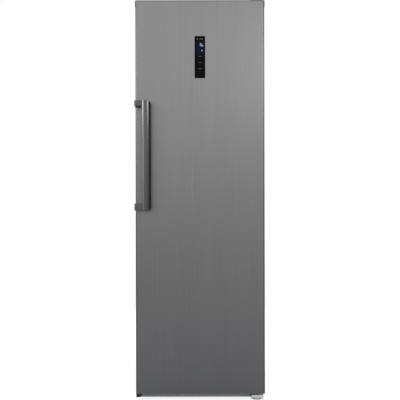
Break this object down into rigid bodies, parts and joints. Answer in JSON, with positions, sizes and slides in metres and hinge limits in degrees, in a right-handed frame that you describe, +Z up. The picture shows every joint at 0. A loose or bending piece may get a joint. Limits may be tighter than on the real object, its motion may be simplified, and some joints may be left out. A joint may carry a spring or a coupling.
{
  "type": "refrigerator",
  "caption": "Tall single-door larder refrigerator with a brushed steel front, side handle, door display, shelves, drawers and a wire condenser.",
  "frame": {"origin": "on the floor, midway across the width and midway between the handle's front and the wall spacers", "axes": "+X to the right of someone facing the door, +Y from the door to the wall, +Z up"},
  "size_m": [0.6, 0.692, 1.862],
  "materials": {
    "steel_front": "brushed vertical grain",
    "handle_metal": "satin",
    "cap_plastic": "satin moulded",
    "side_paint": "fine textured paint",
    "back_sheet": "plain galvanised",
    "insulation": "cut foam",
    "white_plastic": "semi gloss",
    "grey_plastic": "satin moulded",
    "clear_plastic": "clear",
    "shelf_glass": "clear",
    "display_glass": "black gloss",
    "circuit_board": "satin",
    "seal_rubber": "soft matt",
    "black_rubber": "matt",
    "zinc_plate": "zinc plated",
    "black_enamel": "gloss black",
    "copper_line": "dull copper",
    "chrome_wire": "bright",
    "cold_aluminium": "mill",
    "black_plastic": "satin"
  },
  "bodies": {
    "cabinet": {"side_panel_left": "side_paint", "side_panel_right": "side_paint", "top_cover": "side_paint", "rear_panel": "back_sheet", "base_panel": "back_sheet", "cabinet_foam": "insulation", "inner_liner": "white_plastic", "evaporator_plate": "cold_aluminium", "kick_plate": "grey_plastic", "air_duct_cover": "white_plastic", "fan_motor": "grey_plastic", "lamp_case": "white_plastic", "lamp_lens": "clear_plastic", "glass_shelves": "shelf_glass", "shelf_trims": "white_plastic", "bottle_rack": "chrome_wire", "chill_drawer_rails": "white_plastic", "compressor_carrier": "back_sheet", "compressor": "black_enamel", "compressor_grommets": "black_rubber", "terminal_cover": "cap_plastic", "mains_gland": "black_rubber", "drip_tray": "black_plastic", "drain_tube": "black_plastic", "condenser_tube": "black_enamel", "condenser_wires": "black_enamel", "condenser_standoffs": "grey_plastic", "wall_spacers": "grey_plastic", "refrigerant_pipes": "copper_line", "left_foot_bracket": "zinc_plate", "bottom_hinge_bracket": "zinc_plate", "hinge_pins": "zinc_plate", "roller_brackets": "zinc_plate", "roller_axles": "zinc_plate", "top_hinge_plate": "zinc_plate", "top_hinge_cover": "cap_plastic", "bracket_screws": "zinc_plate"},
    "door": {"door_skin": "steel_front", "door_top_cap": "cap_plastic", "door_bottom_cap": "cap_plastic", "door_foam": "insulation", "door_liner": "white_plastic", "door_gasket": "seal_rubber", "hinge_bushes": "grey_plastic", "bottle_bin": "clear_plastic", "door_bins": "clear_plastic", "display_window": "display_glass", "display_housing": "grey_plastic", "control_board": "circuit_board", "handle_bar": "handle_metal", "handle_brackets": "cap_plastic", "handle_screws": "zinc_plate"},
    "crisper_left": {"crisper_left": "clear_plastic"},
    "crisper_right": {"crisper_right": "clear_plastic"},
    "chill_drawer": {"chill_drawer": "clear_plastic"},
    "fan": {"fan_impeller": "grey_plastic"},
    "foot_left": {"foot_left": "grey_plastic"},
    "foot_right": {"foot_right": "grey_plastic"},
    "roller_left": {"roller_left": "black_plastic"},
    "roller_right": {"roller_right": "black_plastic"}
  },
  "joints": [
    {"name": "door_hinge", "type": "hinge", "parent": "cabinet", "child": "door", "pos_m": [0.2795, -0.272, 0.9], "axis": [0, 0, 1], "range_deg": [0, 135]},
    {"name": "crisper_left_slide", "type": "slide", "parent": "cabinet", "child": "crisper_left", "axis": [0, -1, 0], "range_m": [0, 0.25]},
    {"name": "crisper_right_slide", "type": "slide", "parent": "cabinet", "child": "crisper_right", "axis": [0, -1, 0], "range_m": [0, 0.25]},
    {"name": "chill_drawer_slide", "type": "slide", "parent": "cabinet", "child": "chill_drawer", "axis": [0, -1, 0], "range_m": [0, 0.2]},
    {"name": "fan_spin", "type": "hinge", "parent": "cabinet", "child": "fan", "pos_m": [0, 0.234, 1.698], "axis": [0, 1, 0], "continuous": true},
    {"name": "foot_left_turn", "type": "hinge", "parent": "cabinet", "child": "foot_left", "pos_m": [-0.2635, -0.2, 0], "axis": [0, 0, 1], "continuous": true},
    {"name": "foot_right_turn", "type": "hinge", "parent": "cabinet", "child": "foot_right", "pos_m": [0.2635, -0.259, 0], "axis": [0, 0, 1], "continuous": true},
    {"name": "roller_left_spin", "type": "hinge", "parent": "cabinet", "child": "roller_left", "pos_m": [-0.2455, 0.28, 0.015], "axis": [1, 0, 0], "continuous": true},
    {"name": "roller_right_spin", "type": "hinge", "parent": "cabinet", "child": "roller_right", "pos_m": [0.2455, 0.28, 0.015], "axis": [1, 0, 0], "continuous": true}
  ],
  "couplings": [
    {"joint": "crisper_left_slide", "follows": "door_hinge", "m_per_rad": 0.1061},
    {"joint": "crisper_right_slide", "follows": "door_hinge", "m_per_rad": 0.1061},
    {"joint": "chill_drawer_slide", "follows": "door_hinge", "m_per_rad": 0.0848}
  ]
}
